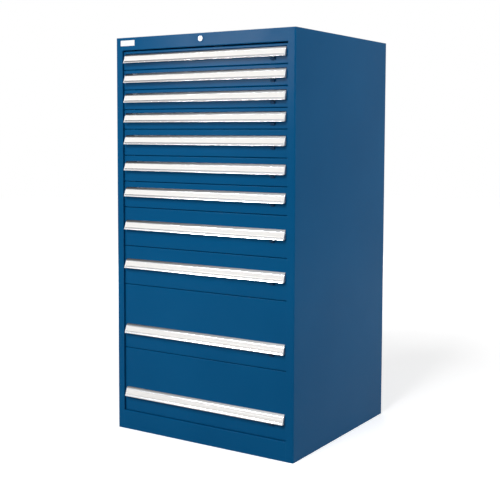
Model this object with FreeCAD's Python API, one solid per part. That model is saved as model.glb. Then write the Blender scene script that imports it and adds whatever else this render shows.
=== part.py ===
import FreeCAD, Part
import math
import os

from FreeCAD import Vector

# Heavy-duty steel drawer cabinet: eleven full-width drawers on telescopic roller slides in a
# folded-sheet housing with slotted corner posts and one central lock in the header.
# Millimetres. +X is to the right of someone facing the drawers, +Y goes back into the cabinet,
# +Z is up. The origin lies on the floor, under the middle of the overall footprint, grips included.

# ---- Driving dimensions ----
WIDTH = 790.0
DEPTH = 745.0  # front frame to back edge
HEIGHT = 1520.0
HEADER = 48.0  # rail above the drawers
FRONT_HEIGHTS = (75, 75, 75, 75, 100, 100, 100, 150, 150, 250, 250)  # top to bottom
BASE = HEIGHT - HEADER - sum(FRONT_HEIGHTS)  # rail below the drawers

HOUSING_SHEET = 1.5
BACK_SHEET = 1.2
CORNER_RADIUS = 5.0  # outer radius of the housing's upright front and rear corners
STILE_WIDTH = 30.0
STILE_DEPTH = 22.0
REAR_FLANGE = 25.0

HEADER_FLANGE = 25.0  # depth of the header's flange under the lid
HEADER_RETURN = 24.0  # depth of its flange above the drawers
HEADER_LIP = 11.0
BASE_RETURN = 24.0
BASE_LIP = 14.0
BASE_FOOT = 20.0
RAIL_BEND = 2.0  # mid-line radius where both rails turn towards the drawers

FRONT_SET_BACK = 8.0  # drawer fronts behind the front frame
FRONT_DEPTH = 18.0
FRONT_SHEET = 1.5
FRONT_GAP = 1.5  # between one front and the next, and beside each front
HEADER_GAP = 4.0  # between the header and the uppermost front
FRONT_EDGE_RADIUS = 3.0

GRIP_HEIGHT = 36.0
GRIP_REACH = 17.0  # how far the grip stands out from the drawer front
GRIP_TOP_OFFSETS = {75: 12.3, 100: 21.3, 150: 48.9, 250: 154.2}  # front's top edge to the grip's
GRIP_INSET = 8.5  # from the end of the front to the end of the grip
CAP_WIDTH = 6.0
CAP_CHAMFER = 5.0  # cut off the cap's lower corner, beside the drawer front

TRAY_SHEET = 1.2
TRAY_HALF_WIDTH = 338.5
TRAY_RIM = 8.0  # folded outwards along the sides and the rear
TRAY_BACK_GAP = 35.0  # tray's rear wall to the cabinet's back edge
TRAY_LIFT = 8.0  # tray's underside above the front's bottom edge
TRAY_DROP = 14.0  # tray's rim below the front's top edge

RUNNER_RISE = 26.0  # slide centre line above the front's bottom edge
RUNNER_SHEET = 1.5
RUNNER_REACH = 12.5  # how far the tray's runner flanges stand out
ROLLER_RADIUS = 11.0
ROLLER_PLAY = 0.3  # between a roller and each flange that it runs on
ROLLER_WIDTH = 11.5
ROLLER_INSET = 16.0  # from the carriage's rear end to the roller's axis
GLIDE_LENGTH = 60.0
HOOK_REACH = 5.0  # how far a rail's hook goes into the front post
HOOK_PLAY = 0.3  # on each side of the hook in its slot
HOOK_SHORTER = 1.0  # at each end of the hook than its slot
SIDE_PLAY = 1.0  # between the carriage bar and the channels beside it
CARRIAGE_BAR = 3.0

LATCH_X = 302.0
LATCH_WIDTH = 14.0
LATCH_HEIGHT = 12.0
LATCH_TRAVEL = 8.0
LATCH_DROP = 1.0  # from the grip's lower edge to the thumb tab
LATCH_PLAY = 0.4  # in front of the drawer front
SHANK_HALF = 5.0
SHANK_HALF_HEIGHT = 2.0
SHANK_PLAY = 0.5
BOLT_HALF_HEIGHT = 6.0
BOLT_FRONT = 5.0  # behind the face of the drawer front
BOLT_SHEET = 3.0

BOTTOM_SHEET = 2.0
BOTTOM_FLANGE = 25.0
ANCHOR_X = 300.0  # floor bolts, from the middle of the cabinet
ANCHOR_Y = 280.0
ANCHOR_HOLE_RADIUS = 6.5

POST_SHEET = 2.0
POST_DEPTH = 24.5  # from the side panel's inner face to the post's web
POST_WIDTH = 40.0
SLOT_WIDTH = 4.0
SLOT_HEIGHT = 12.0

BADGE_INSET = 23.0
BADGE_DROP = 21.0  # from the top to the plate's middle
BADGE_WIDTH = 67.0
BADGE_HEIGHT = 21.0
BADGE_SHEET = 1.0

LOCK_HEIGHT = HEIGHT - 20.0
LOCK_BEZEL_RADIUS = 10.0
LOCK_BEZEL_REACH = 3.0
LOCK_BARREL_RADIUS = 9.0
LOCK_BARREL_LENGTH = 20.0
LOCK_HOLE_PLAY = 0.1
LOCK_PLUG_RADIUS = 7.0
LOCK_PLUG_PLAY = 0.05
LOCK_PLUG_SUNK = 0.4  # plug's face behind the bezel's
KEYWAY_HALF = 1.1
KEYWAY_UP = 3.5
KEYWAY_DOWN = 4.5
KEYWAY_DEPTH = 8.0
CRANK_RADIUS = 9.0
CRANK_SHEET = 3.0
CRANK_HALF = 5.0  # half the width of the crank's arm, and the radius of its end
CRANK_PIN = 2.5
PIN_PAST = 1.0  # how far the crank's pin stands out behind the cross bar
PIN_SLOT_HALF = 3.0
PIN_SLOT_PLAY = 0.3  # beyond the pin's travel at each end of a slot
LOCK_BAR_SHEET = 3.0
LOCK_BAR_X = 364.5
LOCK_BAR_HALF = 3.0
LOCK_BAR_ABOVE_PIN = 5.0
CROSS_BAR_WIDTH = 14.0
CROSS_BAR_LEFT = -18.0
CROSS_HEAD_LEFT = 345.0
CROSS_HEAD_RIGHT = 371.5
CROSS_HEAD_RISE = 13.0
PIN_OFFSET = CRANK_RADIUS / math.sqrt(2.0)  # the pin's, left of and below the plug's axis, unlocked
LOCK_TRAVEL = 2 * PIN_OFFSET  # of the cross bar and the upright bar, for a quarter turn
TOOTH_LOW = 57.0  # above the front's bottom edge
TOOTH_HEIGHT = 10.0
TOOTH_REACH = 13.5  # from the lock bar's middle towards the drawers
CATCH_LOW = 46.0
CATCH_HEIGHT = 8.0
CATCH_END = 361.0
CATCH_DEPTH = 6.0

WELD_LAP = 1.0  # how far welded pieces reach into each other
CUT_PAST = 1.0  # how far a cutter runs past the sheet that it goes through

# ---- Planes worked out from them ----
FRONT = -(DEPTH + GRIP_REACH - FRONT_SET_BACK) / 2 + GRIP_REACH - FRONT_SET_BACK
BACK = FRONT + DEPTH
PANEL = FRONT + FRONT_SET_BACK  # face of every drawer front
TRAY_FRONT = PANEL + FRONT_DEPTH
TRAY_BACK = BACK - TRAY_BACK_GAP
SIDE = WIDTH / 2
SIDE_INNER = SIDE - HOUSING_SHEET
OPENING_HALF = SIDE - STILE_WIDTH
FRONT_HALF = OPENING_HALF - FRONT_GAP
TOP_UNDERSIDE = HEIGHT - HOUSING_SHEET
POST_FACE = SIDE_INNER - POST_DEPTH
FRONT_POST = FRONT + 40.0
REAR_POST = BACK - 80.0
HOOK_MIDDLE = FRONT_POST + POST_WIDTH / 2
RAIL_FRONT = FRONT + 50.0
RAIL_BACK = BACK - 35.0
CARRIAGE_FRONT = FRONT + 40.0
CARRIAGE_BACK = BACK - 45.0
CHANNEL_HALF = ROLLER_RADIUS + ROLLER_PLAY  # half the clear height of each runner channel
TRAY_RUNNER = TRAY_HALF_WIDTH + RUNNER_REACH
CARRIAGE_INNER = TRAY_RUNNER + SIDE_PLAY
CARRIAGE_OUTER = CARRIAGE_INNER + CARRIAGE_BAR
RAIL_LIP = CARRIAGE_OUTER + SIDE_PLAY
CRANK_PLANE = FRONT + 22.0
CROSS_BAR_PLANE = FRONT + 28.0
LOCK_BAR_PLANE = FRONT + 34.0
CATCH_FRONT = FRONT + 40.0
LOCK_PIN_HEIGHT = LOCK_HEIGHT + 6.0


# ---- Shared shapes ----
def in_xy(u, v):
    return Vector(u, v, 0)


def in_yz(u, v):
    return Vector(0, u, v)


def in_xz(u, v):
    return Vector(u, 0, v)


def block(x_low, x_high, y_low, y_high, z_low, z_high):
    """Box between two corners."""
    return Part.makeBox(x_high - x_low, y_high - y_low, z_high - z_low, Vector(x_low, y_low, z_low))


def cylinder_back(radius, y_low, y_high, x, z):
    """Cylinder along the depth of the cabinet."""
    return Part.makeCylinder(radius, y_high - y_low, Vector(x, y_low, z), Vector(0, 1, 0))


def mirrored(shape):
    """The same shape on the other side of the cabinet."""
    return shape.mirror(Vector(0, 0, 0), Vector(1, 0, 0))


def rounded_face(corners, lift):
    """Face inside a closed outline of (u, v, radius) corners; lift puts u and v into space."""
    turns = []
    for i, (u, v, radius) in enumerate(corners):
        here = Vector(u, v, 0)
        back = Vector(*corners[i - 1][:2], 0).sub(here).normalize()
        ahead = Vector(*corners[(i + 1) % len(corners)][:2], 0).sub(here).normalize()
        if radius == 0:
            turns.append((here, None, here))
            continue
        half = back.getAngle(ahead) / 2
        inward = (back + ahead).normalize()
        start = here + back * (radius / math.tan(half))
        middle = here + inward * (radius / math.sin(half) - radius)
        end = here + ahead * (radius / math.tan(half))
        turns.append((start, middle, end))
    edges = []
    for i, (start, middle, end) in enumerate(turns):
        if middle is not None:
            edges.append(Part.Arc(*(lift(p.x, p.y) for p in (start, middle, end))).toShape())
        following = turns[(i + 1) % len(turns)][0]
        edges.append(Part.LineSegment(lift(end.x, end.y), lift(following.x, following.y)).toShape())
    return Part.Face(Part.Wire(edges))


def folded_sheet(path, thickness, lift, start, run):
    """Sheet bent along the (u, v, mid-line radius) points of its mid line, from start along run."""
    left, right = [], []
    for i, (u, v, bend) in enumerate(path):
        here = Vector(u, v, 0)
        before = here.sub(Vector(*path[i - 1][:2], 0)).normalize() if i > 0 else None
        after = None
        if i < len(path) - 1:
            after = Vector(*path[i + 1][:2], 0).sub(here).normalize()
        first, last = before or after, after or before
        normal_in = Vector(-first.y, first.x, 0)
        normal_out = Vector(-last.y, last.x, 0)
        mitre = (normal_in + normal_out) * (thickness / 2 / (1 + normal_in.dot(normal_out)))
        turn = first.cross(last).z
        near = max(bend - thickness / 2, 0) if turn else 0
        far = bend + thickness / 2 if turn and bend else 0
        left.append((u + mitre.x, v + mitre.y, near if turn > 0 else far))
        right.append((u - mitre.x, v - mitre.y, far if turn > 0 else near))
    sheet = rounded_face(left + right[::-1], lift).extrude(run)
    sheet.translate(start)
    return sheet


# ---- Housing ----
def side_panel():
    """Right side: one sheet with the stile and its return at the front and a flange at the rear."""
    half = HOUSING_SHEET / 2
    corner = CORNER_RADIUS - half
    path = (
        (OPENING_HALF + half, FRONT + STILE_DEPTH, 0),
        (OPENING_HALF + half, FRONT + half, 0),
        (SIDE - half, FRONT + half, corner),
        (SIDE - half, BACK - half, corner),
        (SIDE - REAR_FLANGE, BACK - half, 0),
    )
    return folded_sheet(path, HOUSING_SHEET, in_xy, Vector(), Vector(0, 0, TOP_UNDERSIDE))


def top_panel():
    """Flat lid on the side panels, with the same upright corners."""
    corners = [
        (x, y, CORNER_RADIUS)
        for x, y in ((-SIDE, FRONT), (SIDE, FRONT), (SIDE, BACK), (-SIDE, BACK))
    ]
    lid = rounded_face(corners, in_xy).extrude(Vector(0, 0, HOUSING_SHEET))
    lid.translate(Vector(0, 0, TOP_UNDERSIDE))
    return lid


def back_panel():
    """Flat sheet inside the rear flanges."""
    outer = BACK - HOUSING_SHEET
    half = SIDE - CORNER_RADIUS
    return block(-half, half, outer - BACK_SHEET, outer, 0, TOP_UNDERSIDE)


def header_rail():
    """Folded channel between the stiles above the drawers, with the lock's hole."""
    half = HOUSING_SHEET / 2
    top, bottom = TOP_UNDERSIDE - half, HEIGHT - HEADER + half
    path = (
        (FRONT + HEADER_FLANGE, top, 0),
        (FRONT + half, top, 0),
        (FRONT + half, bottom, RAIL_BEND),
        (FRONT + HEADER_RETURN, bottom, 0),
        (FRONT + HEADER_RETURN, bottom + HEADER_LIP, 0),
    )
    start, run = Vector(-OPENING_HALF, 0, 0), Vector(2 * OPENING_HALF, 0, 0)
    rail = folded_sheet(path, HOUSING_SHEET, in_yz, start, run)
    hole = cylinder_back(
        LOCK_BARREL_RADIUS + LOCK_HOLE_PLAY, FRONT - CUT_PAST, CRANK_PLANE, 0, LOCK_HEIGHT
    )
    return rail.cut(hole)


def base_rail():
    """Folded channel between the stiles below the drawers, down to the floor."""
    half = HOUSING_SHEET / 2
    path = (
        (FRONT + BASE_RETURN, BASE - half - BASE_LIP, 0),
        (FRONT + BASE_RETURN, BASE - half, 0),
        (FRONT + half, BASE - half, RAIL_BEND),
        (FRONT + half, half, 0),
        (FRONT + BASE_FOOT, half, 0),
    )
    start, run = Vector(-OPENING_HALF, 0, 0), Vector(2 * OPENING_HALF, 0, 0)
    return folded_sheet(path, HOUSING_SHEET, in_yz, start, run)


def bottom_panel():
    """Sheet on the floor with its sides turned up, and a hole for a floor bolt in each corner."""
    half = BOTTOM_SHEET / 2
    side = POST_FACE - half
    path = (
        (-side, BOTTOM_FLANGE, 0),
        (-side, half, 0),
        (side, half, 0),
        (side, BOTTOM_FLANGE, 0),
    )
    start = Vector(0, FRONT + STILE_DEPTH, 0)
    run = Vector(0, BACK - HOUSING_SHEET - BACK_SHEET, 0) - start
    panel = folded_sheet(path, BOTTOM_SHEET, in_xz, start, run)
    for x in (-ANCHOR_X, ANCHOR_X):
        for y in (-ANCHOR_Y, ANCHOR_Y):
            panel = panel.cut(Part.makeCylinder(ANCHOR_HOLE_RADIUS, BOTTOM_SHEET, Vector(x, y, 0)))
    return panel


def corner_posts(slide_heights):
    """Four upright channels that carry the slides, the front ones slotted for the rails' hooks."""
    posts = []
    half = POST_SHEET / 2
    for front_edge, slot_heights in ((FRONT_POST, slide_heights), (REAR_POST, [])):
        path = (
            (SIDE_INNER, front_edge + half, 0),
            (POST_FACE + half, front_edge + half, 0),
            (POST_FACE + half, front_edge + POST_WIDTH - half, 0),
            (SIDE_INNER, front_edge + POST_WIDTH - half, 0),
        )
        run = Vector(0, 0, TOP_UNDERSIDE)
        post = folded_sheet(path, POST_SHEET, in_xy, Vector(), run)
        for height in slot_heights:
            slot = block(
                POST_FACE - CUT_PAST,
                POST_FACE + POST_SHEET + CUT_PAST,
                HOOK_MIDDLE - SLOT_WIDTH / 2,
                HOOK_MIDDLE + SLOT_WIDTH / 2,
                height - SLOT_HEIGHT / 2,
                height + SLOT_HEIGHT / 2,
            )
            post = post.cut(slot)
        posts += [post, mirrored(post)]
    return posts


def cabinet_rail(height):
    """Right-hand channel on the posts' faces, with the hook that goes into the front post."""
    half = RUNNER_SHEET / 2
    flange = CHANNEL_HALF + half
    path = (
        (RAIL_LIP, height + flange, 0),
        (POST_FACE - half, height + flange, 0),
        (POST_FACE - half, height - flange, 0),
        (RAIL_LIP, height - flange, 0),
    )
    start, run = Vector(0, RAIL_FRONT, 0), Vector(0, RAIL_BACK - RAIL_FRONT, 0)
    rail = folded_sheet(path, RUNNER_SHEET, in_xz, start, run)
    hook = block(
        POST_FACE - RUNNER_SHEET / 2,
        POST_FACE + HOOK_REACH,
        HOOK_MIDDLE - SLOT_WIDTH / 2 + HOOK_PLAY,
        HOOK_MIDDLE + SLOT_WIDTH / 2 - HOOK_PLAY,
        height - SLOT_HEIGHT / 2 + HOOK_SHORTER,
        height + SLOT_HEIGHT / 2 - HOOK_SHORTER,
    )
    return rail.fuse(hook)


def badge_plate():
    """Bare plate at the left end of the header."""
    middle = HEIGHT - BADGE_DROP
    half = BADGE_HEIGHT / 2
    left = -SIDE + BADGE_INSET
    return block(left, left + BADGE_WIDTH, FRONT - BADGE_SHEET, FRONT, middle - half, middle + half)


# ---- Central lock ----
def lock_barrel():
    """Fixed body of the lock: a bezel in front of the header and a sleeve through it."""
    face, rear = FRONT - LOCK_BEZEL_REACH, FRONT + LOCK_BARREL_LENGTH
    bezel = cylinder_back(LOCK_BEZEL_RADIUS, face, FRONT, 0, LOCK_HEIGHT)
    sleeve = cylinder_back(LOCK_BARREL_RADIUS, FRONT, rear, 0, LOCK_HEIGHT)
    bore = cylinder_back(LOCK_PLUG_RADIUS + LOCK_PLUG_PLAY, face, rear, 0, LOCK_HEIGHT)
    return bezel.fuse(sleeve).cut(bore)


def lock_plug():
    """Turning plug with a keyway in its face, and the crank on its tail."""
    face = FRONT - LOCK_BEZEL_REACH + LOCK_PLUG_SUNK
    rear = CRANK_PLANE + CRANK_SHEET
    plug = cylinder_back(LOCK_PLUG_RADIUS, face, rear, 0, LOCK_HEIGHT)
    keyway = block(
        -KEYWAY_HALF,
        KEYWAY_HALF,
        face,
        face + KEYWAY_DEPTH,
        LOCK_HEIGHT - KEYWAY_DOWN,
        LOCK_HEIGHT + KEYWAY_UP,
    )
    arm = block(-CRANK_HALF, CRANK_HALF, CRANK_PLANE, rear, LOCK_HEIGHT - CRANK_RADIUS, LOCK_HEIGHT)
    arm.rotate(Vector(0, 0, LOCK_HEIGHT), Vector(0, 1, 0), 45)
    pin_x, pin_z = -PIN_OFFSET, LOCK_HEIGHT - PIN_OFFSET
    eye = cylinder_back(CRANK_HALF, CRANK_PLANE, rear, pin_x, pin_z)
    pin_end = CROSS_BAR_PLANE + LOCK_BAR_SHEET + PIN_PAST
    pin = cylinder_back(CRANK_PIN, CRANK_PLANE, pin_end, pin_x, pin_z)
    return plug.cut(keyway).fuse([arm, eye, pin]).removeSplitter()


def straight_slot(x_from, z_from, x_to, z_to, half_width, y_low, y_high):
    """Round-ended slot cutter between two centres."""
    along = Vector(x_to - x_from, 0, z_to - z_from)
    side = Vector(-along.z, 0, along.x).normalize() * half_width
    start, end = Vector(x_from, y_low, z_from), Vector(x_to, y_low, z_to)
    tip = Vector(along).normalize() * half_width
    edges = [
        Part.LineSegment(start + side, end + side).toShape(),
        Part.Arc(end + side, end + tip, end - side).toShape(),
        Part.LineSegment(end - side, start - side).toShape(),
        Part.Arc(start - side, start - tip, start + side).toShape(),
    ]
    return Part.Face(Part.Wire(edges)).extrude(Vector(0, y_high - y_low, 0))


def lock_crossbar():
    """Flat bar behind the header: an upright slot for the crank, a sloping one for the lock bar."""
    near, far = CROSS_BAR_PLANE, CROSS_BAR_PLANE + LOCK_BAR_SHEET
    low = LOCK_HEIGHT - CROSS_BAR_WIDTH
    bar = block(CROSS_BAR_LEFT, CROSS_HEAD_RIGHT, near, far, low, LOCK_HEIGHT)
    head = block(CROSS_HEAD_LEFT, CROSS_HEAD_RIGHT, near, far, low, LOCK_HEIGHT + CROSS_HEAD_RISE)
    crank_slot = straight_slot(
        -PIN_OFFSET,
        LOCK_HEIGHT - CRANK_RADIUS - PIN_SLOT_PLAY,
        -PIN_OFFSET,
        LOCK_HEIGHT - PIN_OFFSET + PIN_SLOT_PLAY,
        PIN_SLOT_HALF,
        near - CUT_PAST,
        far + CUT_PAST,
    )
    ramp = straight_slot(
        LOCK_BAR_X + PIN_SLOT_PLAY,
        LOCK_PIN_HEIGHT + PIN_SLOT_PLAY,
        LOCK_BAR_X - LOCK_TRAVEL - PIN_SLOT_PLAY,
        LOCK_PIN_HEIGHT - LOCK_TRAVEL - PIN_SLOT_PLAY,
        PIN_SLOT_HALF,
        near - CUT_PAST,
        far + CUT_PAST,
    )
    return bar.fuse(head).cut(crank_slot).cut(ramp).removeSplitter()


def lock_bar(front_bottoms):
    """Upright comb beside the right-hand slides; its teeth drop in front of the drawers' catches."""
    near, far = LOCK_BAR_PLANE, LOCK_BAR_PLANE + LOCK_BAR_SHEET
    foot = min(front_bottoms) + CATCH_LOW
    head = LOCK_PIN_HEIGHT + LOCK_BAR_ABOVE_PIN
    stem = block(LOCK_BAR_X - LOCK_BAR_HALF, LOCK_BAR_X + LOCK_BAR_HALF, near, far, foot, head)
    teeth = []
    for bottom in front_bottoms:
        low = bottom + TOOTH_LOW
        teeth.append(block(LOCK_BAR_X - TOOTH_REACH, LOCK_BAR_X, near, far, low, low + TOOTH_HEIGHT))
    pin = cylinder_back(CRANK_PIN, CROSS_BAR_PLANE, far, LOCK_BAR_X, LOCK_PIN_HEIGHT)
    return stem.fuse(teeth + [pin]).removeSplitter()


# ---- Drawers ----
def front_pan(low, high, latch_top):
    """Folded drawer front, open at the rear, with the latch's slot and bolt hole."""
    outer = block(-FRONT_HALF, FRONT_HALF, PANEL, TRAY_FRONT, low, high)
    bends = [
        edge
        for edge in outer.Edges
        if abs(edge.CenterOfMass.y - PANEL) < 0.01 and abs(edge.CenterOfMass.x) < 0.01
    ]
    outer = outer.makeFillet(FRONT_EDGE_RADIUS, bends)
    inner = block(
        -FRONT_HALF + FRONT_SHEET,
        FRONT_HALF - FRONT_SHEET,
        PANEL + FRONT_SHEET,
        TRAY_FRONT,
        low + FRONT_SHEET,
        high - FRONT_SHEET,
    )
    middle = latch_top - LATCH_HEIGHT / 2
    shank_slot = block(
        LATCH_X - SHANK_HALF - SHANK_PLAY - LATCH_TRAVEL,
        LATCH_X + SHANK_HALF + SHANK_PLAY,
        PANEL - CUT_PAST,
        PANEL + FRONT_SHEET + CUT_PAST,
        middle - SHANK_HALF_HEIGHT - SHANK_PLAY,
        middle + SHANK_HALF_HEIGHT + SHANK_PLAY,
    )
    bolt_hole = block(
        FRONT_HALF - FRONT_SHEET - CUT_PAST,
        FRONT_HALF + CUT_PAST,
        PANEL + BOLT_FRONT - SHANK_PLAY,
        PANEL + BOLT_FRONT + BOLT_SHEET + SHANK_PLAY,
        middle - BOLT_HALF_HEIGHT - SHANK_PLAY,
        middle + BOLT_HALF_HEIGHT + SHANK_PLAY,
    )
    return outer.cut(inner).cut(shank_slot).cut(bolt_hole)


def tray(bottom, height, front_low, front_high):
    """Open box with folded rims, a rear wall, and a wall that also backs the drawer's front."""
    half = TRAY_SHEET / 2
    floor, top = bottom + TRAY_LIFT + half, bottom + height - TRAY_DROP
    wall = TRAY_HALF_WIDTH - half
    path = (
        (-wall - TRAY_RIM, top - half, 0),
        (-wall, top - half, 0),
        (-wall, floor, 0),
        (wall, floor, 0),
        (wall, top - half, 0),
        (wall + TRAY_RIM, top - half, 0),
    )
    start, run = Vector(0, TRAY_FRONT, 0), Vector(0, TRAY_BACK - TRAY_FRONT, 0)
    channel = folded_sheet(path, TRAY_SHEET, in_xz, start, run)
    rear_wall = block(-wall, wall, TRAY_BACK - TRAY_SHEET, TRAY_BACK, floor, top)
    rear_rim = block(-wall, wall, TRAY_BACK, TRAY_BACK + TRAY_RIM, top - TRAY_SHEET, top)
    front_wall = block(
        -FRONT_HALF, FRONT_HALF, TRAY_FRONT, TRAY_FRONT + TRAY_SHEET, front_low, front_high
    )
    return channel.fuse([rear_wall, rear_rim, front_wall])


def drawer_box(bottom, height, gap_above, latch_top):
    """Welded drawer: front, tray, the runner flanges on both sides and the lock's catch."""
    low, high = bottom + FRONT_GAP / 2, bottom + height - gap_above
    slide = bottom + RUNNER_RISE
    inside = TRAY_HALF_WIDTH - WELD_LAP
    welded = [tray(bottom, height, low, high)]
    for flange_low in (slide + CHANNEL_HALF, slide - CHANNEL_HALF - RUNNER_SHEET):
        flange = block(
            inside,
            TRAY_RUNNER,
            TRAY_FRONT + TRAY_SHEET,
            TRAY_BACK - TRAY_SHEET,
            flange_low,
            flange_low + RUNNER_SHEET,
        )
        welded += [flange, mirrored(flange)]
    catch_low = bottom + CATCH_LOW
    catch_back = CATCH_FRONT + CATCH_DEPTH
    welded.append(
        block(inside, CATCH_END, CATCH_FRONT, catch_back, catch_low, catch_low + CATCH_HEIGHT)
    )
    return front_pan(low, high, latch_top).fuse(welded).removeSplitter()


# Corners of the grip's section: distance out from the drawer front, height above its lower edge.
LEDGE_TOP = (0.0, GRIP_HEIGHT)
FACE_TOP = (6.0, 27.0)
FACE_BOTTOM = (14.5, 5.5)
LIP = (GRIP_REACH, 0.0)
HOLLOW = ((14.6, 0.0), (12.3, 4.6), (3.2, 27.6), (2.0, 29.4), (2.0, 12.0), (0.0, 12.0))  # underside
LABEL_START = 1.8  # down the sloping face to the label channel
LABEL_LENGTH = 19.0
LABEL_RECESS = 1.0
LABEL_PLAY = 0.2
# Half of the thumb tab's section: distance out from the drawer front, height above its middle.
TAB_SECTION = ((LATCH_PLAY, LATCH_HEIGHT / 2), (3.0, LATCH_HEIGHT / 2), (8.0, 1.0))


def on_face(along, proud):
    """Point of the grip's section: down its sloping face, and out from that face."""
    run = FACE_BOTTOM[0] - FACE_TOP[0]
    fall = FACE_BOTTOM[1] - FACE_TOP[1]
    length = math.hypot(run, fall)
    return (
        FACE_TOP[0] + (along * run - proud * fall) / length,
        FACE_TOP[1] + (along * fall + proud * run) / length,
    )


def front_prism(section, height, x_low, x_high):
    """Solid along X from a section of (out from the drawer front, above a height) points."""
    corners = [(PANEL - out, height + up, 0) for out, up in section]
    solid = rounded_face(corners, in_yz).extrude(Vector(x_high - x_low, 0, 0))
    solid.translate(Vector(x_low, 0, 0))
    return solid


def handle(top):
    """Extruded grip hooded over the fingers, its label strip and its two end caps."""
    low = top - GRIP_HEIGHT
    end = FRONT_HALF - GRIP_INSET
    between = (-end + CAP_WIDTH, end - CAP_WIDTH)
    label_end = LABEL_START + LABEL_LENGTH
    section = [
        LEDGE_TOP,
        FACE_TOP,
        on_face(LABEL_START, 0),
        on_face(LABEL_START, -LABEL_RECESS),
        on_face(label_end, -LABEL_RECESS),
        on_face(label_end, 0),
        FACE_BOTTOM,
        LIP,
        *HOLLOW,
    ]
    strip_section = [
        on_face(LABEL_START + LABEL_PLAY, -LABEL_RECESS),
        on_face(LABEL_START + LABEL_PLAY, -LABEL_PLAY),
        on_face(label_end - LABEL_PLAY, -LABEL_PLAY),
        on_face(label_end - LABEL_PLAY, -LABEL_RECESS),
    ]
    cap_section = [(0, CAP_CHAMFER), LEDGE_TOP, FACE_TOP, FACE_BOTTOM, LIP, (CAP_CHAMFER, 0)]
    pieces = [front_prism(section, low, *between), front_prism(strip_section, low, *between)]
    for x in (-end, end - CAP_WIDTH):
        pieces.append(front_prism(cap_section, low, x, x + CAP_WIDTH))
    return pieces


def latch(top):
    """Thumb slide under the grip: a nosed tab, a shank through the front and a bolt behind it."""
    middle = top - LATCH_HEIGHT / 2
    lower_half = [(out, -up) for out, up in reversed(TAB_SECTION)]
    section = [*TAB_SECTION, *lower_half]
    tab = front_prism(section, middle, LATCH_X - LATCH_WIDTH / 2, LATCH_X + LATCH_WIDTH / 2)
    bolt_back = PANEL + BOLT_FRONT + BOLT_SHEET
    shank = block(
        LATCH_X - SHANK_HALF,
        LATCH_X + SHANK_HALF,
        PANEL - WELD_LAP,
        bolt_back,
        middle - SHANK_HALF_HEIGHT,
        middle + SHANK_HALF_HEIGHT,
    )
    bolt = block(
        LATCH_X - SHANK_HALF,
        FRONT_HALF,
        PANEL + BOLT_FRONT,
        bolt_back,
        middle - BOLT_HALF_HEIGHT,
        middle + BOLT_HALF_HEIGHT,
    )
    return tab.fuse([shank, bolt]).removeSplitter()


def slide_carriage(height):
    """Right-hand middle member of a slide: a flat bar, a roller outside it and a glide inside it.

    The roller runs in the cabinet's channel, and the glide between the tray's flanges.
    """
    low, high = height - ROLLER_RADIUS, height + ROLLER_RADIUS
    bar = block(CARRIAGE_INNER, CARRIAGE_OUTER, CARRIAGE_FRONT, CARRIAGE_BACK, low, high)
    axle = Vector(CARRIAGE_OUTER, CARRIAGE_BACK - ROLLER_INSET, height)
    roller = Part.makeCylinder(ROLLER_RADIUS, ROLLER_WIDTH, axle, Vector(1, 0, 0))
    glide_back = CARRIAGE_FRONT + GLIDE_LENGTH
    glide = block(
        CARRIAGE_INNER - ROLLER_WIDTH, CARRIAGE_INNER, CARRIAGE_FRONT, glide_back, low, high
    )
    return [bar, roller, glide]


# ---- Export ----
def export(name, solids):
    """Writes one sub-part; several separate solids go out as one compound."""
    shape = solids[0] if len(solids) == 1 else Part.makeCompound(solids)
    shape.exportStep("parts/" + name + ".step")


def build():
    bottoms = []
    top = HEIGHT - HEADER
    for height in FRONT_HEIGHTS:
        top -= height
        bottoms.append(top)
    slide_heights = [bottom + RUNNER_RISE for bottom in bottoms]
    side = side_panel()
    rails = [cabinet_rail(height) for height in slide_heights]
    export("side_panel_right", [side])
    export("side_panel_left", [mirrored(side)])
    export("top_panel", [top_panel()])
    export("back_panel", [back_panel()])
    export("header_rail", [header_rail()])
    export("base_rail", [base_rail()])
    export("bottom_panel", [bottom_panel()])
    export("corner_posts", corner_posts(slide_heights))
    export("cabinet_rails_right", rails)
    export("cabinet_rails_left", [mirrored(rail) for rail in rails])
    export("badge_plate", [badge_plate()])
    export("lock_barrel", [lock_barrel()])
    export("lock_plug", [lock_plug()])
    export("lock_crossbar", [lock_crossbar()])
    export("lock_bar", [lock_bar(bottoms)])
    for number, (bottom, height) in enumerate(zip(bottoms, FRONT_HEIGHTS), start=1):
        name = "drawer_%02d_" % number
        gap_above = HEADER_GAP if number == 1 else FRONT_GAP / 2
        grip_top = bottom + height - GRIP_TOP_OFFSETS[height]
        latch_top = grip_top - GRIP_HEIGHT - LATCH_DROP
        carriage = slide_carriage(bottom + RUNNER_RISE)
        export(name + "box", [drawer_box(bottom, height, gap_above, latch_top)])
        export(name + "handle", handle(grip_top))
        export(name + "latch", [latch(latch_top)])
        export(name + "slides", carriage + [mirrored(piece) for piece in carriage])


os.makedirs("parts", exist_ok=True)
build()
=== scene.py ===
import math

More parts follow.
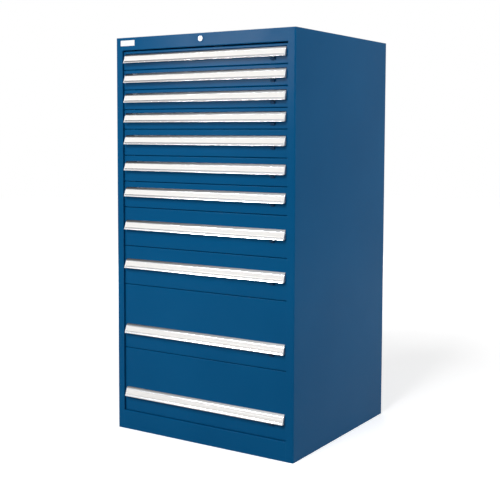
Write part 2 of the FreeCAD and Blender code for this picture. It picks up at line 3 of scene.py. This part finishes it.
import bmesh
import bpy
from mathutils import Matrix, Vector


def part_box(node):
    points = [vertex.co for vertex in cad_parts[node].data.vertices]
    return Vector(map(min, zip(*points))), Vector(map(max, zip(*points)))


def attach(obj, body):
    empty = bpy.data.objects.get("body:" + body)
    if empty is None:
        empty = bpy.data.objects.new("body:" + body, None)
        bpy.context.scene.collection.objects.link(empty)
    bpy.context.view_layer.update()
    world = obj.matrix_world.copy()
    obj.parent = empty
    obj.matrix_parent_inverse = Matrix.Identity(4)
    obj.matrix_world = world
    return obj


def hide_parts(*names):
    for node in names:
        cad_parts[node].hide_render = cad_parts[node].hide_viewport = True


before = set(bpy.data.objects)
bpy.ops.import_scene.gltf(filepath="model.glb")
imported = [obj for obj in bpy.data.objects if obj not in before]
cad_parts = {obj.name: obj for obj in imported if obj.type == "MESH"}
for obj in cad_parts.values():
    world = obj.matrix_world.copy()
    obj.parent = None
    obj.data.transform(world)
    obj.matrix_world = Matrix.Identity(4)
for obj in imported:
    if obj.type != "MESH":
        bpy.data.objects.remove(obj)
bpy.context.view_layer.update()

# ---- Painted housing ----
# Side sheets, top, back, rails and bottom are folded from 1.5 mm steel, welded into one case and
# powder coated in a deep gentian blue. The baked coat has a fine orange peel, draws thin and pale over
# the bends and edges, and its gloss is slightly uneven.
HOUSING_SHEETS = (
    "side_panel_left", "side_panel_right", "top_panel", "back_panel",
    "header_rail", "base_rail", "bottom_panel",
)
COAT_BLUE = (0.0020, 0.088, 0.226, 1.0)
COAT_BLUE_DEEP = (0.0016, 0.078, 0.205, 1.0)
COAT_THIN = (0.020, 0.150, 0.300, 1.0)
COAT_EDGE = 0.0012  # width of the thin coat along an edge
COAT_ROUGHNESS = (0.18, 0.25)
COAT_SPECULAR = 0.03
CLOUDS, THIN_PATCHES, GLOSS_PATCHES, PEEL_BUMPS = 2.3, 30.0, 9.0, 420.0  # a metre
THIN_SHARE = (0.25, 0.8)  # how far the coat along an edge draws thin
PEEL_STRENGTH, PEEL_HEIGHT = 0.12, 0.0004
USUAL = (0.3, 0.7)  # where most values of a noise lie
ROUGH_USUAL = (0.35, 0.65)  # the same for a rougher noise, which turns sooner


def new_material(name):
    """Empty node material with its node tree, its Principled shader and Object coordinates."""
    material = bpy.data.materials.new(name)
    material.use_nodes = True
    tree = material.node_tree
    shader = tree.nodes["Principled BSDF"]
    place = tree.nodes.new("ShaderNodeTexCoord").outputs["Object"]
    return material, tree, shader, place


def set_constants(node, values):
    """Sets numbers and colours on a node's own sockets."""
    for socket, value in values.items():
        node.inputs[socket].default_value = value


def noise(tree, place, scale, detail=3.0, rough=0.5):
    """Noise texture's value; scale is in patches a metre."""
    node = tree.nodes.new("ShaderNodeTexNoise")
    set_constants(node, {"Scale": scale, "Detail": detail, "Roughness": rough})
    tree.links.new(place, node.inputs["Vector"])
    return node.outputs["Fac"]


def ramp(tree, value, low, high, start, end):
    """Value from start to end as the input goes from low to high."""
    node = tree.nodes.new("ShaderNodeMapRange")
    set_constants(node, {"From Min": low, "From Max": high, "To Min": start, "To Max": end})
    tree.links.new(value, node.inputs["Value"])
    return node.outputs["Result"]


def blend_colours(tree, value, first, second):
    """Colour that goes from first to second with a value; each is a colour or a node's output."""
    node = tree.nodes.new("ShaderNodeMix")
    node.data_type = "RGBA"
    tree.links.new(value, node.inputs["Factor"])
    for socket, colour in (("A", first), ("B", second)):
        target = next(s for s in node.inputs if s.name == socket and s.type == "RGBA")
        if isinstance(colour, tuple):
            target.default_value = colour
        else:
            tree.links.new(colour, target)
    return next(s for s in node.outputs if s.type == "RGBA")


def bump(tree, shader, height, strength, distance):
    """Raises the surface by a height pattern; distance is in metres."""
    node = tree.nodes.new("ShaderNodeBump")
    set_constants(node, {"Strength": strength, "Distance": distance})
    tree.links.new(height, node.inputs["Height"])
    tree.links.new(node.outputs["Normal"], shader.inputs["Normal"])


def edges(tree, width):
    """1 along the edges and bends of a piece, 0 on its flat faces."""
    soft = tree.nodes.new("ShaderNodeBevel")
    soft.samples = 4
    soft.inputs["Radius"].default_value = width
    along = tree.nodes.new("ShaderNodeVectorMath")
    along.operation = "DOT_PRODUCT"
    tree.links.new(soft.outputs["Normal"], along.inputs[0])
    tree.links.new(tree.nodes.new("ShaderNodeNewGeometry").outputs["Normal"], along.inputs[1])
    flat, turned = 0.985, 0.82
    return ramp(tree, along.outputs["Value"], flat, turned, 0.0, 1.0)


def maths(tree, operation, first, second):
    """One value worked out from two."""
    node = tree.nodes.new("ShaderNodeMath")
    node.operation = operation
    tree.links.new(first, node.inputs[0])
    tree.links.new(second, node.inputs[1])
    return node.outputs["Value"]


def powder_coat():
    material, tree, shader, place = new_material("blue powder coat")
    cloud = ramp(tree, noise(tree, place, CLOUDS, detail=4.0), *USUAL, 0.0, 1.0)
    full = blend_colours(tree, cloud, COAT_BLUE, COAT_BLUE_DEEP)
    patches = noise(tree, place, THIN_PATCHES, detail=4.0, rough=0.7)
    share = ramp(tree, patches, *ROUGH_USUAL, *THIN_SHARE)
    thin = maths(tree, "MULTIPLY", edges(tree, COAT_EDGE), share)
    tree.links.new(blend_colours(tree, thin, full, COAT_THIN), shader.inputs["Base Color"])
    gloss = ramp(tree, noise(tree, place, GLOSS_PATCHES, detail=5.0, rough=0.6), *USUAL, *COAT_ROUGHNESS)
    tree.links.new(gloss, shader.inputs["Roughness"])
    set_constants(shader, {"Specular IOR Level": COAT_SPECULAR})
    bump(tree, shader, noise(tree, place, PEEL_BUMPS, detail=2.0), PEEL_STRENGTH, PEEL_HEIGHT)
    return material


coat = powder_coat()


def finish_node(node, material):
    """Gives a CAD node's every material slot one finish."""
    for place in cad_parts[node].material_slots:
        place.material = material


for sheet in HOUSING_SHEETS:
    finish_node(sheet, coat)

# ---- Posts and cabinet rails ----
# The four slotted corner channels and the rails hooked into them are roll-formed galvanised steel.
# The lock's two bars are made of it too. Hot-dip zinc shows as soft grey spangles with a brushed lustre.
ZINCED = ("corner_posts", "cabinet_rails_left", "cabinet_rails_right", "lock_crossbar", "lock_bar")
ZINC_LIGHT = (0.55, 0.57, 0.59, 1.0)
ZINC_DARK = (0.38, 0.40, 0.42, 1.0)
ZINC_ROUGHNESS = (0.32, 0.5)
SPANGLES, SPANGLE_EDGE = 130.0, 0.8  # spangles a metre, and where they are darkest
ZINC_GLOSS_PATCHES, ZINC_GRAINS = 60.0, 900.0


def galvanised_steel():
    material, tree, shader, place = new_material("galvanised steel")
    spangle = tree.nodes.new("ShaderNodeTexVoronoi")
    spangle.inputs["Scale"].default_value = SPANGLES
    tree.links.new(place, spangle.inputs["Vector"])
    tone = ramp(tree, spangle.outputs["Distance"], 0.0, SPANGLE_EDGE, 0.0, 1.0)
    tree.links.new(blend_colours(tree, tone, ZINC_LIGHT, ZINC_DARK), shader.inputs["Base Color"])
    set_constants(shader, {"Metallic": 1.0})
    gloss = ramp(tree, noise(tree, place, ZINC_GLOSS_PATCHES, detail=4.0), *USUAL, *ZINC_ROUGHNESS)
    tree.links.new(gloss, shader.inputs["Roughness"])
    bump(tree, shader, noise(tree, place, ZINC_GRAINS, detail=2.0), strength=0.1, distance=0.0002)
    return material


zinc = galvanised_steel()
for node in ZINCED:
    finish_node(node, zinc)

# ---- Drawers ----
# Each drawer is one welded tray with a folded front, coated like the housing.
# Its roller slides are zinc-plated steel.
DRAWER_COUNT = 11
DRAWERS = ["drawer_%02d" % (index + 1) for index in range(DRAWER_COUNT)]
for drawer in DRAWERS:
    finish_node(drawer + "_box", coat)
    finish_node(drawer + "_slides", zinc)

# ---- Grips ----
# A satin anodised aluminium extrusion runs the full width of each front. It slopes out over the
# fingers, its back leg is fixed to the front, and its outer face has a channel for a label strip.
GRIP_HEIGHT = 0.036
CAP_WIDTH = 0.003  # of the end caps, which the extrusion stops short of
LABEL_START, LABEL_LENGTH, LABEL_RECESS = 0.0018, 0.019, 0.001  # down the face, and into it
# Corners of the section: distance out from the drawer front, height above the grip's lower edge.
LEDGE_TOP = (0.0, GRIP_HEIGHT)
FACE_TOP = Vector((0.006, 0.027))
FACE_BOTTOM = Vector((0.0145, 0.0055))
LIP = (0.017, 0.0)
HOLLOW = [
    (0.0146, 0.0), (0.0123, 0.0046), (0.0032, 0.0276), (0.002, 0.0294), (0.002, 0.012), (0.0, 0.012),
]
GRIP_ROUNDING = 0.0004
ALUMINIUM_LIGHT = (0.72, 0.73, 0.75, 1.0)
ALUMINIUM_DARK = (0.65, 0.66, 0.68, 1.0)
ALUMINIUM_ROUGHNESS = (0.13, 0.19)
DRAW_LINES = (3.0, 900.0, 900.0)  # a metre along the grip, and across it
SMOOTH_BELOW = math.radians(46.0)  # sharper edges than this show as edges
CORNER_ABOVE = math.radians(20.0)  # sharper edges than this are rounded
SAME_PLACE = 1e-5
down_face = (FACE_BOTTOM - FACE_TOP).normalized()
off_face = Vector((-down_face.y, down_face.x))


def on_face(along, proud):
    """Point of the grip's section: down its sloping face, and out from that face."""
    return tuple(FACE_TOP + down_face * along + off_face * proud)


def extruded(section, corner, x_low, x_high):
    """Mesh of an (out, up) section run across the cabinet; corner is where the section starts, (y, z)."""
    mesh = bmesh.new()
    end = mesh.faces.new(
        [mesh.verts.new((x_low, corner[0] - out, corner[1] + up)) for out, up in section]
    )
    run = bmesh.ops.extrude_face_region(mesh, geom=[end])
    far = [part for part in run["geom"] if isinstance(part, bmesh.types.BMVert)]
    bmesh.ops.translate(mesh, verts=far, vec=(x_high - x_low, 0, 0))
    bmesh.ops.recalc_face_normals(mesh, faces=mesh.faces)
    return mesh


def rounded(mesh, chosen, radius, segments=3):
    """Rounds the chosen edges of a mesh."""
    bmesh.ops.bevel(
        mesh, geom=chosen, offset=radius, offset_type="OFFSET", affect="EDGES",
        segments=segments, profile=0.5, material=-1,
    )


def corners(mesh):
    """Edges where two faces meet at a clear angle."""
    return [e for e in mesh.edges if e.calc_face_angle(0.0) > CORNER_ABOVE]


def corners_along(mesh):
    """Those of the corners that run across the cabinet."""
    return [e for e in corners(mesh) if abs(e.verts[0].co.x - e.verts[1].co.x) > SAME_PLACE]


def piece(name, mesh, material, body, slot, *nodes):
    """Turns a bmesh into a piece that rides on a body and stands for some CAD nodes."""
    for edge in mesh.edges:
        edge.smooth = edge.calc_face_angle(0.0) < SMOOTH_BELOW
    for face in mesh.faces:
        face.smooth = True
    data = bpy.data.meshes.new(name)
    mesh.to_mesh(data)
    mesh.free()
    data.materials.append(material)
    shape = bpy.data.objects.new(name, data)
    bpy.context.scene.collection.objects.link(shape)
    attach(shape, body)
    if nodes:
        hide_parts(*nodes)


def anodised_aluminium():
    material, tree, shader, place = new_material("anodised aluminium")
    stretched = tree.nodes.new("ShaderNodeMapping")
    stretched.inputs["Scale"].default_value = DRAW_LINES
    tree.links.new(place, stretched.inputs["Vector"])
    lines = noise(tree, stretched.outputs["Vector"], 1.0)
    tone = ramp(tree, lines, *USUAL, 0.0, 1.0)
    tree.links.new(blend_colours(tree, tone, ALUMINIUM_LIGHT, ALUMINIUM_DARK), shader.inputs["Base Color"])
    set_constants(shader, {"Metallic": 1.0})
    tree.links.new(ramp(tree, lines, *USUAL, *ALUMINIUM_ROUGHNESS), shader.inputs["Roughness"])
    bump(tree, shader, lines, strength=0.04, distance=0.0001)
    return material


aluminium = anodised_aluminium()
grip_section = [
    LEDGE_TOP, tuple(FACE_TOP),
    on_face(LABEL_START, 0), on_face(LABEL_START, -LABEL_RECESS),
    on_face(LABEL_START + LABEL_LENGTH, -LABEL_RECESS), on_face(LABEL_START + LABEL_LENGTH, 0),
    tuple(FACE_BOTTOM), LIP, *HOLLOW,
]
for drawer in DRAWERS:
    low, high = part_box(drawer + "_handle")
    grip = extruded(grip_section, (high.y, low.z), low.x + CAP_WIDTH, high.x - CAP_WIDTH)
    rounded(grip, corners_along(grip), GRIP_ROUNDING, segments=2)
    piece(drawer + "_grip", grip, aluminium, drawer, "grip_aluminium", drawer + "_handle")

# ---- Label strips ----
# White card behind a clear cover slides into the channel of every grip, from cap to cap.
# It is blank, and the cover gives it a glossy skin.
CARD_PLAY = 0.0002
CARD_ROUNDING = 0.0002


def speckled(
    name, light, dark, tones, roughness, gloss_patches, grains, grain_strength,
    tone_detail=3.0, grain_detail=3.0, grain_height=0.0001,
):
    """Material and shader with uneven colour and gloss and a grain; tones, patches, grains a metre."""
    material, tree, shader, place = new_material(name)
    tone = ramp(tree, noise(tree, place, tones, tone_detail), *USUAL, 0.0, 1.0)
    tree.links.new(blend_colours(tree, tone, light, dark), shader.inputs["Base Color"])
    gloss = ramp(tree, noise(tree, place, gloss_patches), *USUAL, *roughness)
    tree.links.new(gloss, shader.inputs["Roughness"])
    bump(tree, shader, noise(tree, place, grains, grain_detail), grain_strength, grain_height)
    return material, shader


card, card_shader = speckled(
    "covered label card", light=(0.86, 0.84, 0.82, 1.0), dark=(0.84, 0.82, 0.79, 1.0),
    tones=14.0, roughness=(0.45, 0.6), gloss_patches=300.0, grains=80.0, grain_strength=0.1,
    tone_detail=4.0, grain_detail=2.0, grain_height=0.0003,
)
set_constants(card_shader, {"Specular IOR Level": 0.15, "Coat Weight": 0.12, "Coat Roughness": 0.12})
card_top, card_foot = LABEL_START + CARD_PLAY, LABEL_START + LABEL_LENGTH - CARD_PLAY
card_section = [
    on_face(card_top, -LABEL_RECESS), on_face(card_top, -CARD_PLAY),
    on_face(card_foot, -CARD_PLAY), on_face(card_foot, -LABEL_RECESS),
]
for drawer in DRAWERS:
    low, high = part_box(drawer + "_handle")
    strip = extruded(card_section, (high.y, low.z), low.x + CAP_WIDTH, high.x - CAP_WIDTH)
    rounded(strip, corners_along(strip), CARD_ROUNDING, segments=2)
    piece(drawer + "_label_strip", strip, card, drawer, "grip_aluminium", drawer + "_handle")

# ---- Grip end caps ----
# A thin cap of moulded white plastic closes each end of a grip and holds the label strip in. It is
# pressed in below the grip's ledge, which runs on over it, and its edges are softly rounded.
CAP_CHAMFER = 0.005  # cut off its lower corner, beside the drawer front
CAP_ROUNDING = 0.0005
LEDGE_WALL = 0.0016  # thickness of the ledge over the cap
LEDGE_ROUNDING = 0.0003
white_plastic, plastic_shader = speckled(
    "white plastic", light=(0.86, 0.87, 0.88, 1.0), dark=(0.81, 0.82, 0.83, 1.0),
    tones=40.0, roughness=(0.35, 0.5), gloss_patches=200.0, grains=1500.0, grain_strength=0.04,
)
set_constants(plastic_shader, {"Specular IOR Level": 0.2})
ledge_under = (0.0, GRIP_HEIGHT - 2.0 * LEDGE_WALL)
cap_section = [
    (0.0, CAP_CHAMFER), ledge_under, on_face(LEDGE_WALL, 0),
    tuple(FACE_BOTTOM), LIP, (CAP_CHAMFER, 0.0),
]
ledge_section = [ledge_under, LEDGE_TOP, tuple(FACE_TOP), on_face(LEDGE_WALL, 0)]
for drawer in DRAWERS:
    low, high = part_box(drawer + "_handle")
    for side, x in (("left", low.x), ("right", high.x - CAP_WIDTH)):
        cap = extruded(cap_section, (high.y, low.z), x, x + CAP_WIDTH)
        rounded(cap, corners(cap), CAP_ROUNDING)
        piece(drawer + "_cap_" + side, cap, white_plastic, drawer, "grip_aluminium")
        ledge = extruded(ledge_section, (high.y, low.z), x, x + CAP_WIDTH)
        rounded(ledge, corners_along(ledge), LEDGE_ROUNDING, segments=2)
        piece(drawer + "_ledge_" + side, ledge, aluminium, drawer, "grip_aluminium")

# ---- Thumb latches ----
# Under the right end of each grip a dark moulded slide frees the drawer. The thumb pushes its
# nosed tab to the left by the ribs moulded round it, and a spring brings it back.
TAB_REACH, TAB_SHOULDER = 0.008, 0.003  # out from the drawer front
TAB_HALF, NOSE_HALF = 0.006, 0.001  # half heights at the shoulder and at the nose
TAB_MIDDLE_X = 0.302
RIB_RISE, RIB_HALF = 0.0006, 0.0004
RIB_STEP, RIB_SPAN = 0.0022, 2  # from rib to rib, and ribs on each side of the middle one
RIB_ROUNDING = 0.0002
latch_plastic, latch_shader = speckled(
    "latch plastic", light=(0.013, 0.064, 0.150, 1.0), dark=(0.009, 0.046, 0.112, 1.0),
    tones=90.0, roughness=(0.4, 0.55), gloss_patches=300.0, grains=1800.0, grain_strength=0.15,
)
set_constants(latch_shader, {"Specular IOR Level": 0.1})
upper_rib = [
    (TAB_SHOULDER - RIB_RISE, TAB_HALF - RIB_RISE), (TAB_SHOULDER, TAB_HALF + RIB_RISE / 2),
    (TAB_REACH + RIB_RISE, NOSE_HALF),
]
rib_section = upper_rib + [(out, -up) for out, up in reversed(upper_rib)]
for drawer in DRAWERS:
    finish_node(drawer + "_latch", latch_plastic)
    drawer_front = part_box(drawer + "_handle")[1].y
    low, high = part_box(drawer + "_latch")
    for number in range(-RIB_SPAN, RIB_SPAN + 1):
        x = TAB_MIDDLE_X + number * RIB_STEP
        rib = extruded(rib_section, (drawer_front, (low.z + high.z) / 2), x - RIB_HALF, x + RIB_HALF)
        rounded(rib, rib.edges[:], RIB_ROUNDING, segments=2)
        name = drawer + "_thumb_rib_%d" % (number + RIB_SPAN + 1)
        piece(name, rib, latch_plastic, drawer + "_latch", "latch_plastic")

# ---- Central lock ----
# The lock's turned and chromed barrel is clamped in the header's hole, with its bezel in front.
# The plug with the keyway turns in the middle of it.
BEZEL_RADIUS, BEZEL_REACH, BEZEL_ROUNDING = 0.010, 0.003, 0.0009
BARREL_RADIUS, BORE_RADIUS = 0.009, 0.00705
TURN_STEPS = 64
chrome, chrome_shader = speckled(
    "lock chrome", light=(0.52, 0.55, 0.58, 1.0), dark=(0.42, 0.45, 0.48, 1.0),
    tones=120.0, roughness=(0.36, 0.48), gloss_patches=500.0, grains=700.0, grain_strength=0.05,
)
set_constants(chrome_shader, {"Metallic": 1.0})
low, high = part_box("lock_barrel")
lock_axis = (low + high) / 2
bezel_back = low.y + BEZEL_REACH
barrel_profile = [
    (BORE_RADIUS, high.y), (BARREL_RADIUS, high.y), (BARREL_RADIUS, bezel_back),
    (BEZEL_RADIUS, bezel_back), (BEZEL_RADIUS, low.y), (BORE_RADIUS, low.y),
]
barrel = bmesh.new()
ring = [barrel.verts.new((lock_axis.x + radius, y, lock_axis.z)) for radius, y in barrel_profile]
turned = [barrel.edges.new((ring[index - 1], ring[index])) for index in range(len(ring))]
bmesh.ops.spin(
    barrel, geom=ring + turned, cent=(lock_axis.x, 0, lock_axis.z), axis=(0, 1, 0), dvec=(0, 0, 0),
    angle=math.tau, steps=TURN_STEPS, use_merge=True, use_normal_flip=False, use_duplicate=False,
)
bmesh.ops.recalc_face_normals(barrel, faces=barrel.faces)
arc = math.tau * BEZEL_RADIUS / TURN_STEPS
shoulders = [  # edges that run round the front of the barrel, which are shorter than those across it
    e for e in barrel.edges
    if all(abs(v.co.y - low.y) < SAME_PLACE for v in e.verts) and e.calc_length() < arc
]
rounded(barrel, shoulders, BEZEL_ROUNDING, segments=4)
piece("lock_bezel", barrel, chrome, "housing", "chrome", "lock_barrel")
finish_node("lock_plug", chrome)

# ---- Header plate ----
# A bare white enamelled plate is stuck to the left end of the header.
# Its stoved enamel is smooth, with a faint unevenness in its gloss.
enamel, _ = speckled(
    "white enamel", light=(0.80, 0.82, 0.84, 1.0), dark=(0.74, 0.75, 0.77, 1.0),
    tones=50.0, roughness=(0.25, 0.35), gloss_patches=200.0, grains=500.0, grain_strength=0.05,
)
finish_node("badge_plate", enamel)

# ---- Surround ----
# White walls stand all round, and mirrors and glass show them as the camera does. The ceiling above
# them darkens towards the left, so that the ledges of the grips shade from dark to bright.
SURROUND_LIGHT = 0.08  # what the surround adds to the light on the object
CEILING_LOW, CEILING_HIGH = 0.42, 0.58  # sines of the heights where the walls turn to ceiling
CEILING_DARK, CEILING_BRIGHT = 0.03, 1.0
CEILING_WAY = (0.94, 0.0, -0.34)  # along which the ceiling brightens
WAY_START, WAY_END = -0.83, -0.70


def shown(tree):
    """1 for rays that show the background itself: from the camera, mirrored, or through glass."""
    path = tree.nodes.new("ShaderNodeLightPath").outputs
    seen = maths(tree, "MAXIMUM", path["Is Camera Ray"], path["Is Glossy Ray"])
    return maths(tree, "MAXIMUM", seen, path["Is Transmission Ray"])


def blend(tree, value, first, second):
    """Number that goes from first to second with a value; each is a number or a node's output."""
    node = tree.nodes.new("ShaderNodeMix")
    tree.links.new(value, node.inputs["Factor"])
    for socket, number in (("A", first), ("B", second)):
        if isinstance(number, float):
            node.inputs[socket].default_value = number
        else:
            tree.links.new(number, node.inputs[socket])
    return node.outputs["Result"]


world = bpy.data.worlds.new("studio")
world.use_nodes = True
bpy.context.scene.world = world
tree = world.node_tree
sky = tree.nodes["Background"]
sky.inputs["Color"].default_value = (1.0, 1.0, 1.0, 1.0)
direction = tree.nodes.new("ShaderNodeTexCoord").outputs["Generated"]
height = tree.nodes.new("ShaderNodeSeparateXYZ")
tree.links.new(direction, height.inputs[0])
way = tree.nodes.new("ShaderNodeVectorMath")
way.operation = "DOT_PRODUCT"
way.inputs[1].default_value = CEILING_WAY
tree.links.new(direction, way.inputs[0])
ceiling = ramp(tree, way.outputs["Value"], WAY_START, WAY_END, CEILING_DARK, CEILING_BRIGHT)
up = ramp(tree, height.outputs["Z"], CEILING_LOW, CEILING_HIGH, 0.0, 1.0)
surround = blend(tree, up, 1.0, ceiling)
tree.links.new(blend(tree, shown(tree), SURROUND_LIGHT, surround), sky.inputs["Strength"])

# ---- Floor ----
# A seamless pale painted floor keeps the cabinet's soft shadow. It glows more further out, where it
# runs into the white walls, and it gives less light back to the cabinet than it shows.
FLOOR_RADIUS, FLOOR_SIDES = 14.0, 96
FLOOR_PALE = (0.88, 0.88, 0.88, 1.0)
FLOOR_PALER = (0.9, 0.9, 0.9, 1.0)
FLOOR_BOUNCE = (0.35, 0.35, 0.35, 1.0)  # what the floor gives back to the object
FLOOR_CLOUDS = 0.8  # a metre
GLOW_NEAR, GLOW_FAR = 0.48, 0.9
GLOW_START, GLOW_END = 1.5, 4.0  # metres from the cabinet


def floor_paint():
    material, tree, shader, place = new_material("floor paint")
    cloud = ramp(tree, noise(tree, place, FLOOR_CLOUDS, detail=2.0), *USUAL, 0.0, 1.0)
    seen = blend_colours(tree, cloud, FLOOR_PALE, FLOOR_PALER)
    paint = blend_colours(tree, shown(tree), FLOOR_BOUNCE, seen)
    tree.links.new(paint, shader.inputs["Base Color"])
    set_constants(shader, {"Roughness": 0.9, "Specular IOR Level": 0.1, "Emission Color": (1, 1, 1, 1)})
    away = tree.nodes.new("ShaderNodeVectorMath")
    away.operation = "LENGTH"
    tree.links.new(place, away.inputs[0])
    glow = ramp(tree, away.outputs["Value"], GLOW_START, GLOW_END, GLOW_NEAR, GLOW_FAR)
    tree.links.new(maths(tree, "MULTIPLY", glow, shown(tree)), shader.inputs["Emission Strength"])
    return material


ground = bmesh.new()
bmesh.ops.create_circle(ground, cap_ends=True, segments=FLOOR_SIDES, radius=FLOOR_RADIUS)
floor_data = bpy.data.meshes.new("floor")
ground.to_mesh(floor_data)
ground.free()
floor_data.materials.append(floor_paint())
floor = bpy.data.objects.new("floor", floor_data)
bpy.context.scene.collection.objects.link(floor)

# ---- Lamps ----
# Four soft boxes: a small one low on the left whose glow the header and upper fronts mirror, a
# large one high in front that lights the fronts, and one each for the right side and the back.


def soft_box(name, place, target, width, height, power):
    """Rectangular lamp at one point, facing another."""
    lamp = bpy.data.lights.new(name, "AREA")
    lamp.shape = "RECTANGLE"
    lamp.size, lamp.size_y, lamp.energy = width, height, power
    box = bpy.data.objects.new(name, lamp)
    box.location = place
    box.rotation_euler = (Vector(target) - Vector(place)).to_track_quat("-Z", "Y").to_euler()
    bpy.context.scene.collection.objects.link(box)


soft_box("gloss", (-1.86, -3.5, 1.78), target=(0.0, -0.4, 1.4), width=0.85, height=0.5, power=50.0)
soft_box("key", (0.2, -5.6, 5.2), target=(0.0, -0.3, 1.0), width=2.4, height=2.4, power=302.0)
soft_box("side fill", (3.6, 0.3, 1.9), target=(0.4, 0.0, 0.8), width=2.2, height=2.2, power=80.0)
soft_box("back fill", (-2.4, 4.2, 2.4), target=(-0.1, 0.3, 0.8), width=2.2, height=2.2, power=60.0)

# ---- Camera ----
# It stands at chest height, in front of the cabinet and to its right.
# The lens is shifted a little, as the cabinet isn't in the middle of the frame.
CAMERA_X, CAMERA_Z = 2.0357, 1.1576
CAMERA_FROM_FRONT = 2.9175
CAMERA_YAW, CAMERA_PITCH, CAMERA_ROLL = 33.18, -4.22, -0.11
FOCAL_PIXELS, FRAME_PIXELS = 972.4, 500.0
CENTRE_LEFT, CENTRE_RISE = 20.0, 45.0  # pixels from the frame's middle to the lens's axis
view = bpy.data.cameras.new("camera")
view.lens = view.sensor_width * FOCAL_PIXELS / FRAME_PIXELS
view.shift_x = CENTRE_LEFT / FRAME_PIXELS
view.shift_y = -CENTRE_RISE / FRAME_PIXELS
camera = bpy.data.objects.new("camera", view)
camera.location = (CAMERA_X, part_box("side_panel_right")[0].y - CAMERA_FROM_FRONT, CAMERA_Z)
camera.rotation_euler = [math.radians(turn) for turn in (90.0 + CAMERA_PITCH, CAMERA_ROLL, CAMERA_YAW)]
bpy.context.scene.collection.objects.link(camera)
bpy.context.scene.camera = camera
bpy.context.scene.view_settings.view_transform = "Standard"
